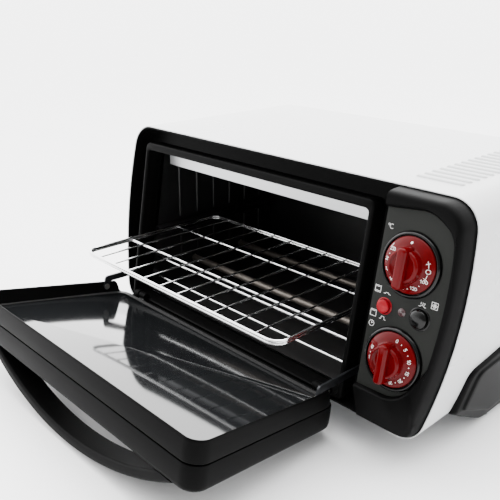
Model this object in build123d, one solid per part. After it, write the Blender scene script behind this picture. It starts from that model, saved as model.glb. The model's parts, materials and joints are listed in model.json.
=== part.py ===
from build123d import *
import os
from math import sin, cos, tan, radians

os.makedirs("parts", exist_ok=True)

# Toaster oven. Millimetres, +Z up, front towards -Y, origin on the table under
# the middle of the whole object with its door let down.

# Overall sizes of the body
width = 432.0
height = 228.5
depth = 232.0
lean = 9.5
foot_gap = 29.6
front_top_y = -10.0
sheet = 1.0
crown_radius = 436.0
crown_z = 0.68 * height
top_corner = 25.0
bottom_corner = 22.0

# Control strip and its moulded front
strip_w = 73.6
rim_out = 17.2
panel_out = 12.4
panel_t = 2.5
groove_in = 18.0
knob_x = width / 2 - 44.5
upper_knob_z = 0.764 * height
lower_knob_z = 0.428 * height
button_z = 0.597 * height
button_pitch = 16.3
knob_r = 22.5
grip_r = 13.5
button_r = 5.6
big_button_r = 7.6
lamp_r = 2.6
run_gap = 0.4

# Door and opening
block_left = width / 2 - strip_w
door_mid = (block_left - width / 2) / 2 + 0.5
door_half = (block_left + width / 2) / 2 - 5.6
hinge_half = door_half - 14.0
open_half = door_half - 22.0
lip_w = 5.6
lip_back = 0.8
axis_z = foot_gap + 7.7
axis_out = 0.5
door_top_z = height - 13.4
open_low = foot_gap + 6.7
open_high = height - 25.9
shell_t = 25.0
seam_h = 2.6
rim_h = 16.3
wall = 3.0
rim_t = 2.4
glass_t = 4.0
bow = 39.0
handle_half = 151.0
handle_t = 9.5
handle_w = 24.0
pin_r = 2.0
pin_gap = 0.05
arm_t = 2.0
arm_half = door_half - 15.0
arm_at = 34.7
arm_drop = 8.1
arm_reach = 95.0
arm_up = rim_h - arm_drop

# Cavity, rack and heaters
liner_t = 0.8
cavity_back = depth - 36.0
rack_half = open_half - 9.5
rack_z = 0.473 * height
rack_out = 98.0
rack_deep = 0.80 * depth
wire_r = 1.5
thin_r = 1.0
rack_bars = 10
heater_r = 4.0
low_heat_z = open_low + 20.0
high_heat_z = open_high - 14.6
heater_y = [0.26 * depth, 0.60 * depth]

# Side feet
foot_len = 0.90 * depth
foot_high = 88.0
foot_top_x = width / 2 - 1.5
foot_low_x = width / 2 - 17.0
pad_t = 1.6


def save(shape, node):
    solids = shape.solids() if hasattr(shape, "solids") else shape
    whole = Compound(children=[Solid(s.wrapped) for s in solids]) if len(solids) > 1 else solids[0]
    whole.label = node
    export_step(whole, f"parts/{node}.step")


def box(x0, x1, y0, y1, z0, z1):
    return Pos((x0 + x1) / 2, (y0 + y1) / 2, (z0 + z1) / 2) * Box(x1 - x0, y1 - y0, z1 - z0)


def rod(p, q, r):
    line = Line(p, q)
    return extrude(Plane(line @ 0, z_dir=line % 0) * Circle(r), (Vector(*q) - Vector(*p)).length)


def mirrored(shape, about):
    return mirror(shape, Plane((about, 0, 0), z_dir=(1, 0, 0)))


# The front plane leans back: local x across, local y up the slope, local z outwards
slope = radians(lean)
front_foot_y = front_top_y - tan(slope) * height
front = Plane((0, front_foot_y, 0), x_dir=(1, 0, 0), z_dir=(0, -cos(slope), sin(slope)))


def up(z, out=0.0):
    return (z - out * sin(slope)) / cos(slope)


def fbox(x0, x1, v0, v1, w0, w1):
    return front * box(x0, x1, v0, v1, w0, w1)


def slab(w0, w1):
    return fbox(-width, width, -height, 2 * height, w0, w1)


def seam_y(z):
    return front_top_y - tan(slope) * (height - z)


def side_x(z):
    return width / 2 - (z - crown_z) ** 2 / (2 * crown_radius)


def outline(inset=0.0, stretch=1.0):
    low_z, mid_z, top_z = [z * stretch for z in (foot_gap + inset, crown_z, height - inset)]
    top = side_x(height) - inset
    low = side_x(foot_gap) - inset
    mid = width / 2 - inset
    right = ThreePointArc((low, low_z), (mid, mid_z), (top, top_z))
    left = ThreePointArc((-top, top_z), (-mid, mid_z), (-low, low_z))
    lines = [right, Line(right @ 1, left @ 0), left, Line(left @ 1, right @ 0)]
    area = make_face(Wire(lines))
    area = fillet(area.vertices().filter_by(lambda v: v.Y > mid_z), top_corner - inset)
    return fillet(area.vertices().filter_by(lambda v: v.Y < low_z + 0.1), bottom_corner - inset)


def prism(inset, y0, y1):
    return extrude(Plane((0, y1, 0), x_dir=(1, 0, 0), z_dir=(0, -1, 0)) * outline(inset), y1 - y0)


back_y = front_top_y + depth
fill = prism(0, front_foot_y - 60, back_y)
inside = prism(sheet, front_foot_y - 60, back_y + 1)
liner_left = door_mid - open_half
liner_right = door_mid + open_half

# Outer casing: one bent white sheet over the top and both sides, open underneath
casing = (fill - inside) & slab(-2 * depth, 0)
casing -= box(-side_x(foot_gap) + bottom_corner, side_x(foot_gap) - bottom_corner,
              front_foot_y - 10, back_y + 10, foot_gap - 5, foot_gap + 5)
louvre_x = width / 2 - 59.0
louvre_half = 22.0
rib_r = 2.2
rib_pitch = 11.6
ribs = int((depth - 66.0) / rib_pitch)
for n in range(ribs):
    y = front_top_y + 32.0 + n * rib_pitch
    rib = rod((louvre_x - louvre_half, y, height - 0.6), (louvre_x + louvre_half, y, height - 0.6), rib_r)
    rib &= box(-width, width, -depth, depth, height - 0.6, height + 5)
    casing += rib
    casing -= box(louvre_x - louvre_half + 2, louvre_x + louvre_half - 2,
                  y + 3.4, y + 6.2, height - 5, height + 5)

# Base plate, laid inside the casing's lower flanges
base_y0 = seam_y(foot_gap) + groove_in + 3.2
base_half = side_x(foot_gap) - bottom_corner - 0.3
base = box(-base_half, base_half, base_y0, back_y - 2.0, foot_gap, foot_gap + sheet)
for n in range(9):
    x = door_mid - 104 + 26 * n
    base -= box(x - 8, x + 8, 0.10 * depth, 0.10 * depth + 5, foot_gap - 1, foot_gap + 2)
    base -= box(x - 8, x + 8, 0.55 * depth, 0.55 * depth + 5, foot_gap - 1, foot_gap + 2)
save(base, "base_plate")

# Rear panel with vent slots, gland hole and four screw holes
rear = prism(sheet + 0.15, back_y - sheet, back_y)
gland_x = width / 2 - 52.0
gland_z = foot_gap + 24.0
rear -= rod((gland_x, back_y - 5, gland_z), (gland_x, back_y + 5, gland_z), 6.0)
for row in range(3):
    for n in range(8):
        x = block_left - 44 + 11.5 * n
        z = 0.56 * height + 15 * row
        rear -= box(x - 1.6, x + 1.6, back_y - 3, back_y + 3, z - 5, z + 5)
screw_spots = [(sx * (width / 2 - 34), z) for sx in (-1, 1) for z in (foot_gap + 52, height - 26)]
for x, z in screw_spots:
    rear -= rod((x, back_y - 3, z), (x, back_y + 3, z), 1.75)
save(rear, "rear_panel")
gland = rod((gland_x, back_y - sheet - 3, gland_z), (gland_x, back_y + 6, gland_z), 6.0)
gland += rod((gland_x, back_y, gland_z), (gland_x, back_y + 3, gland_z), 8.5)
gland += rod((gland_x, back_y - sheet - 3, gland_z), (gland_x, back_y - sheet, gland_z), 7.5)
gland -= rod((gland_x, back_y - 20, gland_z), (gland_x, back_y + 20, gland_z), 3.2)
save(gland, "cable_gland")
rear_screws = []
for x, z in screw_spots:
    screw = rod((x, back_y - 7, z), (x, back_y, z), 1.7) + rod((x, back_y, z), (x, back_y + 1.8, z), 3.4)
    screw -= box(x - 2.4, x + 2.4, back_y + 1.0, back_y + 3, z - 0.4, z + 0.4)
    screw -= box(x - 0.4, x + 0.4, back_y + 1.0, back_y + 3, z - 2.4, z + 2.4)
    rear_screws.append(screw)
save(Compound(children=rear_screws), "rear_panel_screws")

# Rear spacer: a moulded stand-off that keeps the hot back away from a wall
spacer_x = -width / 4
spacer = box(spacer_x - 45, spacer_x + 45, back_y, back_y + 8, 0.70 * height, 0.70 * height + 12)
spacer = fillet(spacer.edges().filter_by(Axis.Y), 4)
spacer -= box(spacer_x - 41, spacer_x + 41, back_y - 1, back_y + 6, 0.70 * height + 3, 0.70 * height + 9)
save(spacer, "rear_spacer")

# Front bezel: groove floor, outer wall, lip round the opening, panel block and chin
bez = prism(sheet + 0.25, front_foot_y - 60, back_y)
groove_top = up(door_top_z, 0) + 2.6
bezel = bez & slab(-groove_in - 2.5, 0)
bezel &= fbox(-width, width, up(foot_gap), 2 * height, -60, 60)
inner = prism(sheet + 0.25 + 1.4, front_foot_y - 60, back_y) & slab(-groove_in, 5)
inner &= fbox(-width, block_left, 0, groove_top, -60, 60)
bezel -= inner
lip_v0 = up(foot_gap)
lip_v1 = up(open_high) + 8.6
lip = front * Pos(door_mid, (lip_v0 + lip_v1) / 2, -groove_in - 1) * extrude(
    RectangleRounded(2 * (open_half + lip_w), lip_v1 - lip_v0, 7.0), groove_in + 1 - lip_back)
lip &= bez
bezel += lip
mouth = front * Pos(door_mid, (up(open_low) + up(open_high)) / 2, -40) * extrude(
    RectangleRounded(2 * open_half, up(open_high) - up(open_low), 4.0), 60)
bezel -= mouth

rim_draft = 5.2
rim_root = 0.6
outer_face = front * loft([Pos(0, 0, -rim_root) * outline(sheet + 0.6, 1 / cos(slope)),
                           Pos(0, 0, rim_out) * outline(sheet + rim_draft, 1 / cos(slope))])
block = outer_face & fbox(block_left, width, up(foot_gap), 2 * height, -rim_root, 60)
v_low = up(foot_gap)
chin = [(v_low - 1, -5), (v_low - 1, 3.0), (up(62.5), rim_out), (2 * height, rim_out), (2 * height, -5)]
chin_plane = Plane((block_left - 5, front_foot_y, 0), x_dir=(0, sin(slope), cos(slope)), z_dir=(1, 0, 0))
chin_side = extrude(chin_plane * make_face(Polyline(*[(v, w) for v, w in chin], close=True)), width)
block &= chin_side
bezel += block

# Panel recess with a rounded outline that follows the rim
pv0 = up(69.0, 14)
pv1 = up(217.5 / 228.5 * height, 14)
px1 = width / 2 - 9.5
recess = make_face(Polyline((block_left - 6, pv0), (px1 - 13.0, pv0 + 3), (px1 - 2.0, pv0 + 34),
                            (px1, (pv0 + pv1) / 2 + 10), (px1 - 3.5, pv1 - 12), (px1 - 20, pv1),
                            (block_left - 6, pv1 - 3.5), close=True))
recess = fillet(recess.vertices().filter_by(lambda v: v.X > block_left + 20), 12)
bezel -= extrude(Plane(front.location) * Pos(0, 0, panel_out) * recess, 40)
bezel -= (prism(sheet + 4.0, front_foot_y - 60, back_y)
          & fbox(block_left + 2.6, width, up(foot_gap) + 4, 2 * height, -groove_in - 5, panel_out - panel_t))
bezel -= (prism(sheet + 4.0, front_foot_y - 60, back_y)
          & fbox(block_left + 2.6, width, up(foot_gap) + 4, pv0 - 9, -groove_in - 5, 0.0))


def pbore(x, z, r, w0=None, w1=40.0):
    w0 = panel_out - panel_t - 5 if w0 is None else w0
    return front * Pos(x, up(z, panel_out), w0) * extrude(Circle(r), w1 - w0)


shaft_r = 3.0
bezel -= pbore(knob_x, upper_knob_z, shaft_r + 1.2)
bezel -= pbore(knob_x, lower_knob_z, shaft_r + 1.2)
red_x = knob_x - button_pitch
black_x = knob_x + button_pitch - 0.6
bezel -= pbore(red_x, button_z, button_r + run_gap)
bezel -= pbore(black_x, button_z, big_button_r + run_gap)
bezel -= pbore(knob_x, button_z, lamp_r)

# Hinge pin bores, notches for the door's ears and slots for the two stay arms
axis_v = up(axis_z, axis_out)
ear_in = hinge_half - 21.0
ear_out = hinge_half - 14.5


def hinge_rod(x0, x1, r):
    return front * Pos(x0, axis_v, axis_out) * Rot(0, 90, 0) * extrude(Circle(r), x1 - x0)


for side in (-1, 1):
    a = sorted((door_mid + side * (ear_in - 0.6), door_mid + side * (ear_out + 0.8)))
    bezel -= hinge_rod(a[0], a[1], 6.6)
    b = sorted((door_mid + side * (ear_in - 12), door_mid + side * ear_in))
    c = sorted((door_mid + side * (ear_in - 11), door_mid + side * (ear_in - 0.6)))
    bezel += hinge_rod(c[0], c[1], 4.6) & bez & fbox(-width, width, up(foot_gap), axis_v + 9, -9, 6)
    bezel -= hinge_rod(b[0], b[1], pin_r + pin_gap)
    s = sorted((door_mid + side * (arm_half - 2.0), door_mid + side * (arm_half + arm_t + 2.0)))
    bezel -= fbox(s[0], s[1], axis_v + 18, axis_v + 62, -groove_in - 5, -groove_in + 1)
save(bezel, "front_bezel")

# Cavity liner: five-sided steel box with a front flange behind the lip
room = box(liner_left, liner_right, -depth, front_top_y + cavity_back, open_low, open_high)
tray_y0 = seam_y(open_low) + groove_in + 3.4
floor = box(liner_left - liner_t, liner_right + liner_t, tray_y0, front_top_y + cavity_back + liner_t,
            open_low - liner_t, open_high + liner_t)
liner = (floor & slab(-depth * 2, -groove_in - 2.6)) - room
rib_half = 1.6
for side in (-1, 1):
    x = door_mid + side * open_half
    for n in range(6):
        y = front_top_y + 0.17 * depth + n * 0.115 * depth
        liner += rod((x, y, open_low + 14), (x, y, rack_z - 12), rib_half) & room
        liner += rod((x, y, rack_z + 8), (x, y, high_heat_z - 12), rib_half) & room
liner_holes = []
for side in (-1, 1):
    x = door_mid + side * open_half
    for y in heater_y:
        for z in (low_heat_z, high_heat_z):
            liner_holes.append(rod((x - 4, front_top_y + y, z), (x + 4, front_top_y + y, z), heater_r + 0.3))
for hole in liner_holes:
    liner -= hole
save(liner, "cavity_liner")

# Bright reflector hung under the cavity roof, with a turned-down front edge
strip_x0 = liner_left + 12
strip_x1 = liner_right - 6
front_in_y = seam_y(open_high) + groove_in + 3.5
reflector = box(strip_x0, strip_x1, front_in_y, front_top_y + cavity_back - 6,
                open_high - 1.4, open_high - 0.6)
reflector += box(strip_x0, strip_x1, front_in_y, front_in_y + 0.8, open_high - 17.5, open_high - 0.6)
save(reflector, "top_reflector")

# Four heating tubes with ceramic end bushes and carriers outside the liner
tube_x0 = liner_left - 5.6
tube_x1 = liner_right + 5.6


def heaters(z, node):
    tubes = [rod((tube_x0, front_top_y + y, z), (tube_x1, front_top_y + y, z), heater_r) for y in heater_y]
    save(Compound(children=tubes), node)


heaters(low_heat_z, "lower_heating_tubes")
heaters(high_heat_z, "upper_heating_tubes")
bushes = []
for side, x in ((-1, liner_left - liner_t), (1, liner_right + liner_t)):
    for y in heater_y:
        for z in (low_heat_z, high_heat_z):
            ends = sorted((x, x + side * 4.6))
            bush = rod((ends[0], front_top_y + y, z), (ends[1], front_top_y + y, z), 7.5)
            bush -= rod((ends[0] - 1, front_top_y + y, z), (ends[1] + 1, front_top_y + y, z), heater_r)
            bushes.append(bush)
save(Compound(children=bushes), "ceramic_bushes")

# Two guard wires across the mouth of the cavity, below the rack
guard_r = 1.5
guards = []
for z in (rack_z - 32.7, rack_z - 54.6):
    y = seam_y(z) + groove_in + 7.0
    path = FilletPolyline((liner_left + 0.2, y + 6, z), (liner_left + 8, y, z), (liner_right - 8, y, z),
                          (liner_right - 0.2, y + 6, z), radius=5)
    guards.append(sweep(Plane(path @ 0, z_dir=path % 0) * Circle(guard_r), path) & room)
save(Compound(children=guards), "guard_wires")

# Rack guides: a channel on each side wall
guides = []
for side in (-1, 1):
    wall_x = door_mid + side * (open_half - 0.9)
    inner_x = door_mid + side * (open_half - 11.0)
    x0, x1 = sorted((wall_x, inner_x))
    w0, w1 = sorted((wall_x, wall_x - side * 1.0))
    y0 = seam_y(rack_z) + groove_in + 4
    y1 = front_top_y + cavity_back - 4
    low = rack_z - 2 * wire_r - 2 * thin_r - 0.5
    high = rack_z + wire_r + 0.6
    channel = box(x0, x1, y0, y1, low - 1.0, low) + box(x0, x1, y0, y1, high, high + 1.0)
    channel += box(w0, w1, y0, y1, low - 1.0, high + 1.0)
    guides.append(channel)
save(guides[0], "rack_guide_left")
save(guides[1], "rack_guide_right")

# Wire rack, drawn out with the door open
rack_y0 = front_top_y - rack_out
rack_y1 = rack_y0 + rack_deep
ring_pts = [(door_mid - rack_half, rack_y0), (door_mid + rack_half, rack_y0),
            (door_mid + rack_half, rack_y1), (door_mid - rack_half, rack_y1)]


def ring(z, r):
    path = FilletPolyline(*[(x, y, z) for x, y in ring_pts], radius=12, close=True)
    return sweep(Plane(path @ 0, z_dir=path % 0) * Circle(r), path)


low_ring_z = rack_z - wire_r - thin_r + 0.25
rack = ring(rack_z, wire_r) + ring(low_ring_z, thin_r + 0.25)
pitch = 2 * rack_half / (rack_bars + 1)
for n in range(rack_bars):
    x = door_mid - rack_half + pitch * (n + 1)
    rack += rod((x, rack_y0, rack_z), (x, rack_y1, rack_z), thin_r)
for part_way in (0.32, 0.68):
    y = rack_y0 + part_way * rack_deep
    z = rack_z - 2 * thin_r - 0.2
    rack += rod((door_mid - rack_half, y, z), (door_mid + rack_half, y, z), thin_r + 0.2)
save(rack, "wire_rack")

# Door, built in its own frame: local x across, local y outwards from the hinge,
# local z from the outside face towards the food
door = Plane((0, front_foot_y + sin(slope) * axis_v - cos(slope) * axis_out,
              cos(slope) * axis_v + sin(slope) * axis_out),
             x_dir=(-1, 0, 0), z_dir=(0, sin(slope), cos(slope)))
mid = -door_mid
door_len = (door_top_z - axis_z) / cos(slope)


def door_outline(inset=0.0, start=-7.4):
    low = hinge_half - inset
    high = door_half - inset
    mid_half = (hinge_half + door_half) / 2 + 1.2 - inset
    right = ThreePointArc((mid + low, start + inset), (mid + mid_half, door_len / 2),
                          (mid + high, door_len - inset))
    left = ThreePointArc((mid - high, door_len - inset), (mid - mid_half, door_len / 2),
                         (mid - low, start + inset))
    lines = [right, Line(right @ 1, left @ 0), left, Line(left @ 1, right @ 0)]
    area = make_face(Wire(lines))
    area = fillet(area.vertices().filter_by(lambda v: v.Y > door_len / 2), max(2.5, 15.0 - inset))
    return fillet(area.vertices().filter_by(lambda v: v.Y < door_len / 2), max(2.5, 16.0 - inset))


def dbox(x0, x1, y0, y1, z0, z1):
    return box(mid + x0, mid + x1, y0, y1, z0, z1)


def drod(x0, x1, y, z, r):
    return Pos(mid + x0, y, z) * Rot(0, 90, 0) * extrude(Circle(r), x1 - x0)


# Outer shell: deep black moulding with a window
shell = extrude(Pos(0, 0, -shell_t) * door_outline(), shell_t - seam_h - 0.1)
shell = fillet(shell.edges().filter_by(lambda e: abs(e.center().Z + shell_t) < 0.01), 5.0)
shell -= extrude(Pos(0, 0, -shell_t + wall) * door_outline(wall + 0.2, 4.0), shell_t)
window_low = 30.0
window_high = door_len - 36.0
window_half = door_half - 36.0
window = Pos(mid, (window_low + window_high) / 2, -shell_t - 1) * extrude(
    RectangleRounded(2 * window_half, window_high - window_low, 12), wall + 2)
shell -= window
shell -= drod(-door_half - 5, door_half + 5, 0, 0, 10.2)

# Inner frame: plate with a raised rim on three sides and ears for the hinge pins
plate_start = 9.0
glass_inset = rim_t + 4.2
frame = extrude(Pos(0, 0, -seam_h) * door_outline(0, plate_start), seam_h)
rim = extrude(Pos(0, 0, -seam_h) * door_outline(0, plate_start), seam_h + rim_h)
rim -= extrude(Pos(0, 0, -seam_h - 1) * door_outline(rim_t, -40.0), seam_h + rim_h + 5)
frame += rim
glass_gap = 0.3
frame -= extrude(Pos(0, 0, -seam_h - 1) * door_outline(glass_inset + 4.0, plate_start + 2), 10)
ledge = extrude(Pos(0, 0, -1.4) * door_outline(glass_inset, plate_start - 2), 10)
frame -= ledge & extrude(Pos(0, 0, -1.4) * door_outline(rim_t, plate_start), 1.4)
for side in (-1, 1):
    x0, x1 = sorted((side * ear_in, side * ear_out))
    ear = drod(x0, x1, 0, 0, 5.4) + dbox(x0, x1, 0, plate_start + 5, -5.0, -0.2)
    ear -= drod(x0 - 1, x1 + 1, 0, 0, pin_r)
    frame += ear
save(door * frame, "door_frame")

pins = []
for side in (-1, 1):
    x0, x1 = sorted((side * (ear_in - 10.5), side * ear_out))
    pins.append(door * drod(x0, x1, 0, 0, pin_r))
save(Compound(children=pins), "hinge_pins")

glass = extrude(Pos(0, 0, -1.4) * door_outline(glass_inset + glass_gap, plate_start - 2 + glass_gap), 1.4)
glass += extrude(Pos(0, 0, -glass_t) * door_outline(glass_inset + 4.3, plate_start + 2.3), glass_t - 1.4)
save(door * glass, "door_glass")

seal = extrude(door_outline(rim_t + 0.3, plate_start), 0.9)
seal -= extrude(Pos(0, 0, -1) * door_outline(rim_t + 4.9, plate_start), 4)
seal &= extrude(door_outline(rim_t + 0.3, -40.0), 4)
save(door * seal, "door_seal")

# Four clips hold the glass against the frame from the shell side
clips = []
for sx in (-1, 1):
    for y in (0.25 * door_len, 0.75 * door_len):
        half = hinge_half + (door_half - hinge_half) * y / door_len
        x0, x1 = sorted((sx * (half - wall - 14.0), sx * (half - wall - 2.0)))
        clip = dbox(x0, x1, y - 6, y + 6, -glass_t - 1.2, -glass_t)
        x2, x3 = sorted((sx * (half - wall - 5.0), sx * (half - wall - 2.0)))
        clip += dbox(x2, x3, y - 6, y + 6, -glass_t - 1.2, -seam_h)
        clips.append(door * clip)
save(Compound(children=clips), "glass_clips")

# Outer window pane
pane = Pos(mid, (window_low + window_high) / 2, -shell_t + wall + 0.05) * extrude(
    RectangleRounded(2 * window_half + 12, window_high - window_low + 12, 12), 3.0)
save(door * pane, "door_window")

# Bow handle with two screws at each end
outer_arc = ThreePointArc((mid - handle_half, -shell_t), (mid, -shell_t - bow), (mid + handle_half, -shell_t))
inner_arc = ThreePointArc((mid + handle_half - 13, -shell_t), (mid, -shell_t - bow + handle_t),
                          (mid - handle_half + 13, -shell_t))
bow_lines = [outer_arc, Line(outer_arc @ 1, inner_arc @ 0), inner_arc, Line(inner_arc @ 1, outer_arc @ 0)]
bow_face = make_face(Wire(bow_lines))
bow_y = door_len - 0.5
handle = extrude(Plane((0, bow_y, 0), x_dir=(1, 0, 0), z_dir=(0, -1, 0)) * bow_face, handle_w)
handle = fillet(handle.edges().filter_by(lambda e: e.length > handle_half and e.center().Z < -shell_t - 8), 2.4)
screws = []
for sx in (-1, 1):
    for y in (bow_y - 7, bow_y - handle_w + 7):
        x = mid + sx * (handle_half - 9.0)
        stud = Pos(x, y, -shell_t - 4.0) * extrude(Circle(1.6), 7.0)
        handle -= stud
        shell -= Pos(x, y, -shell_t - 4.0) * extrude(Circle(1.8), 10.0)
        screws.append(door * (stud + Pos(x, y, -shell_t + wall) * extrude(Circle(3.2), 2.0)))
save(door * handle, "door_handle")
save(door * shell, "door_shell")
save(Compound(children=screws), "handle_screws")

# Stay arms: cranked flat bars from the door into the sides of the body
rise = radians(18.0) - slope


def arm(side, node):
    x0 = side * arm_half
    x1 = side * (arm_half + arm_t)
    lo, hi = sorted((x0, x1))
    knee = (arm_at - 1.0, arm_up + 9.0)
    run = arm_reach
    end = (knee[0] - run * cos(rise), knee[1] + run * sin(rise))
    side_plane = Plane((mid + lo, 0, 0), x_dir=(0, 1, 0), z_dir=(1, 0, 0))
    spine = [(arm_at, arm_up), knee, end]
    bar = extrude(side_plane * (Pos(*spine[0]) * Circle(4.0)), hi - lo)
    for a, b in ((spine[0], spine[1]), (spine[1], spine[2])):
        seg = SlotCenterToCenter((Vector(*b) - Vector(*a)).length, 7.0)
        ang = Vector(*b) - Vector(*a)
        turn = Vector(1, 0, 0).get_signed_angle(ang, Vector(0, 0, 1))
        centre = ((a[0] + b[0]) / 2, (a[1] + b[1]) / 2)
        bar += extrude(side_plane * (Pos(*centre) * Rot(0, 0, turn) * seg), hi - lo)
    bar -= drod(lo - 1, hi + 1, arm_at, arm_up, pin_r + pin_gap)
    save(door * bar, node)


arm(1, "stay_arm_left")
arm(-1, "stay_arm_right")
rivets = []
for side in (-1, 1):
    grow = door_half - hinge_half
    rim_x = hinge_half + grow * (arm_at + 7.4) / (door_len + 7.4) - rim_t + 0.5
    lo, hi = sorted((side * (arm_half - 1.0), side * rim_x))
    rivet = drod(lo, hi, arm_at, arm_up, pin_r)
    h0, h1 = sorted((side * (arm_half - 1.0), side * (arm_half - 0.35)))
    rivet += drod(h0, h1, arm_at, arm_up, 3.4)
    rivets.append(door * rivet)
save(Compound(children=rivets), "stay_rivets")


# Controls: local axis w runs out of the panel at each control's centre
def at_panel(x, z, shape):
    return front * Pos(x, up(z, panel_out), panel_out) * shape


def disc(r, w0, w1):
    return Pos(0, 0, w0) * extrude(Circle(r), w1 - w0)


bracket_w = -7.0
bracket = fbox(block_left + 6, width / 2 - 21, up(foot_gap + 26), up(height) - 16,
               bracket_w - 1.2, bracket_w)
stations = [(knob_x, upper_knob_z, 5.2), (knob_x, lower_knob_z, 5.2), (red_x, button_z, 4.2),
            (black_x, button_z, 4.2), (knob_x, button_z, 3.1)]
for x, z, r in stations:
    bracket -= at_panel(x, z, disc(r, -60, 60))
bracket_screws = []
for x, z in ((block_left + 12, foot_gap + 34), (block_left + 12, height - 27), (width / 2 - 26, height - 34)):
    bracket -= at_panel(x, z, disc(1.8, -60, 60))
    bracket_screws.append(at_panel(x, z, disc(1.6, bracket_w - panel_out - 3, -panel_t - 0.2)
                          + disc(3.0, bracket_w - panel_out - 3, bracket_w - panel_out - 1.2)
                          + disc(4.0, bracket_w - panel_out, -panel_t)))
save(bracket, "control_bracket")
save(Compound(children=bracket_screws), "bracket_screws")

back = bracket_w - 1.2 - panel_out
body_box = Pos(0, 0, back - 8) * Box(34, 34, 16)
body_box = fillet(body_box.edges().filter_by(Axis.Z), 3)
neck = disc(5.0, back, -panel_t - 1.0)
thermo = body_box + neck - disc(shaft_r + pin_gap, -80, 10)
save(at_panel(knob_x, upper_knob_z, thermo), "thermostat_body")
timer = Pos(0, 0, back - 13) * Box(42, 44, 26)
timer = fillet(timer.edges().filter_by(Axis.Z), 4) + neck - disc(shaft_r + pin_gap, -80, 10)
save(at_panel(knob_x, lower_knob_z, timer), "timer_body")
shaft = disc(shaft_r, back - 9, 12.0) - Pos(0, shaft_r + 0.9, 8.0) * Box(8, 4, 12)
save(at_panel(knob_x, upper_knob_z, shaft), "thermostat_shaft")
save(at_panel(knob_x, lower_knob_z, shaft), "timer_shaft")

skirt_w = 1.4
fin_half = 17.0
fin_w = 8.6
top_w = 18.5
skirt = loft([Pos(0, 0, skirt_w) * Circle(knob_r), Pos(0, 0, skirt_w + 4.2) * Circle(knob_r - 2.6)])
grip = Pos(0, 0, skirt_w + 4.0) * extrude(Circle(grip_r), 8.5)
grip = fillet(grip.edges().filter_by(lambda e: e.center().Z > skirt_w + 12), 2.0)
fin = Pos(0, -1.5, skirt_w + 4.0) * extrude(RectangleRounded(fin_w, 2 * fin_half, 3.6), top_w - skirt_w - 4.0)
fin = fillet(fin.edges().filter_by(lambda e: e.center().Z > top_w - 0.1), 1.8)
knob = skirt + grip + fin - shaft - disc(shaft_r, -1, 6)
knob -= disc(11, skirt_w - 1, skirt_w + 2.0) - disc(6, -5, 10)
save(at_panel(knob_x, upper_knob_z, knob), "thermostat_knob")
save(at_panel(knob_x, lower_knob_z, knob), "timer_knob")
ring_out = knob_r + 4.0
trim = loft([Circle(ring_out), Pos(0, 0, 3.2) * Circle(ring_out - 1.6)]) - disc(knob_r + 0.9, -1, 10)
trims = [at_panel(knob_x, z, trim) for z in (upper_knob_z, lower_knob_z)]
save(Compound(children=trims), "knob_rings")

# Two push buttons with their switch bodies, and the pilot lamp
travel = 3.0


def button(r, out, node, x):
    cap = disc(r, -panel_t - 2.0, out)
    cap = fillet(cap.edges().filter_by(lambda e: e.center().Z > out - 0.1), min(1.6, r / 3))
    stem = disc(2.4, back - 5, -panel_t - 2.0)
    flange = disc(r + 1.6, -panel_t - 2.0, -panel_t - 0.8)
    save(at_panel(x, button_z, cap + stem + flange), node)


def switch(node, x, size):
    switch_body = Pos(0, 0, back - 9) * Box(size, 20, 18) + disc(4.0, back, back + 2.4)
    switch_body -= disc(2.4 + run_gap, back - 5 - travel - 1, 10)
    save(at_panel(x, button_z, switch_body), node)


button(button_r, 3.4, "function_button", red_x)
button(big_button_r, 4.4, "steam_button", black_x)
switch("function_switch", red_x, 13.0)
switch("steam_switch", black_x, 13.0)
lamp = disc(lamp_r, -panel_t - 6, 0.8) + disc(lamp_r + 1.4, -panel_t - 6, -panel_t)
lamp = fillet(lamp.edges().filter_by(lambda e: e.center().Z > 0.7), 0.7)
save(at_panel(knob_x, button_z, lamp), "pilot_lamp")

# Sheet wall that keeps cavity heat off the controls, and the mains terminal block
shield_x = block_left - 8.0
shield_y0 = seam_y(height) + groove_in + 8
shield_z0 = foot_gap + sheet
shield = box(shield_x, shield_x + 0.8, shield_y0, back_y - 6, shield_z0 + 0.2, height - 8)
shield += box(shield_x, shield_x + 12, shield_y0, back_y - 6, shield_z0, shield_z0 + 0.8)
save(shield, "heat_shield")
block_t = box(gland_x - 16, gland_x + 8, back_y - 62, back_y - 40, foot_gap + sheet, foot_gap + sheet + 18)
for n in range(3):
    x = gland_x - 12 + 8 * n
    block_t -= rod((x, back_y - 70, foot_gap + 12), (x, back_y - 30, foot_gap + 12), 1.8)
save(block_t, "terminal_block")

# Side feet: moulded pods that hug the lower corners and carry the oven
pod_top = foot_high


def pod_face(inset=0.0):
    y = front_top_y
    pts = [(12.0, 41.8), (21.0, 78.5), (64.0, pod_top - 0.5), (foot_len * 0.62, pod_top + 2.0),
           (foot_len * 0.97, pod_top - 9.0), (foot_len + 6.0, 46.0), (foot_len * 0.72, pad_t), (78.0, pad_t),
           (30.6, 29.5)]
    area = make_face(Polyline(*[(y + a, b) for a, b in pts], close=True))
    area = fillet(area.vertices().filter_by(lambda v: v.X > y + 15 and v.Y < pad_t + 1), 26)
    area = fillet(area.vertices().filter_by(lambda v: v.X < y + 25 and v.Y > 70), 9)
    area = fillet(area.vertices().filter_by(lambda v: v.X > y + foot_len * 0.9 and v.Y > 70), 24)
    area = fillet(area.vertices().filter_by(lambda v: v.X > y + foot_len + 3), 20)
    return offset(area, -inset) if inset else area


pod_plane = Plane((width / 2 - 42, 0, 0), x_dir=(0, 1, 0), z_dir=(1, 0, 0))
tilt = (foot_top_x - foot_low_x) / foot_high


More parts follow.
